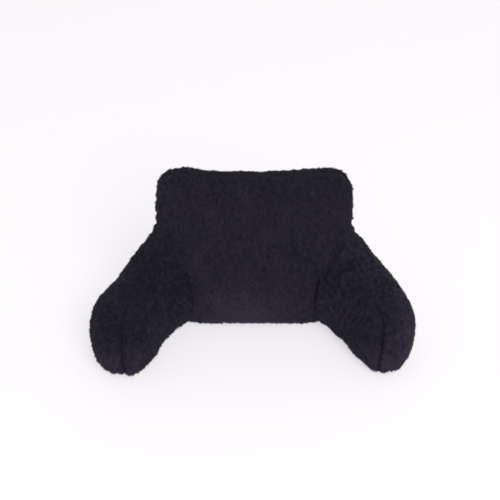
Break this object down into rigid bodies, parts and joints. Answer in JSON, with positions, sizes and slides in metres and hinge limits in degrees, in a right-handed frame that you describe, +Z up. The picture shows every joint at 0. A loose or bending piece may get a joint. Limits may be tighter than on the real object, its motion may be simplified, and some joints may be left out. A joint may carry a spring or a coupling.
{
  "type": "backrest pillow",
  "caption": "Plush backrest pillow: a tall filled back with drawn-in seams and a rounded filled arm sewn to each lower side, standing on a flat base for sitting up in bed or on a floor",
  "frame": {"origin": "on the floor, under the middle of the pillow's box", "axes": "+Z up, +X to the right as seen from the front, and the sitter's side with the arms faces -Y"},
  "size_m": [1.0059, 0.3921, 0.5965],
  "materials": {
    "fleece": "near-black plush fleece with a short, soft, swirled pile"
  },
  "bodies": {
    "root": {"backrest": "fleece", "arm_left": "fleece", "arm_right": "fleece"}
  },
  "joints": []
}
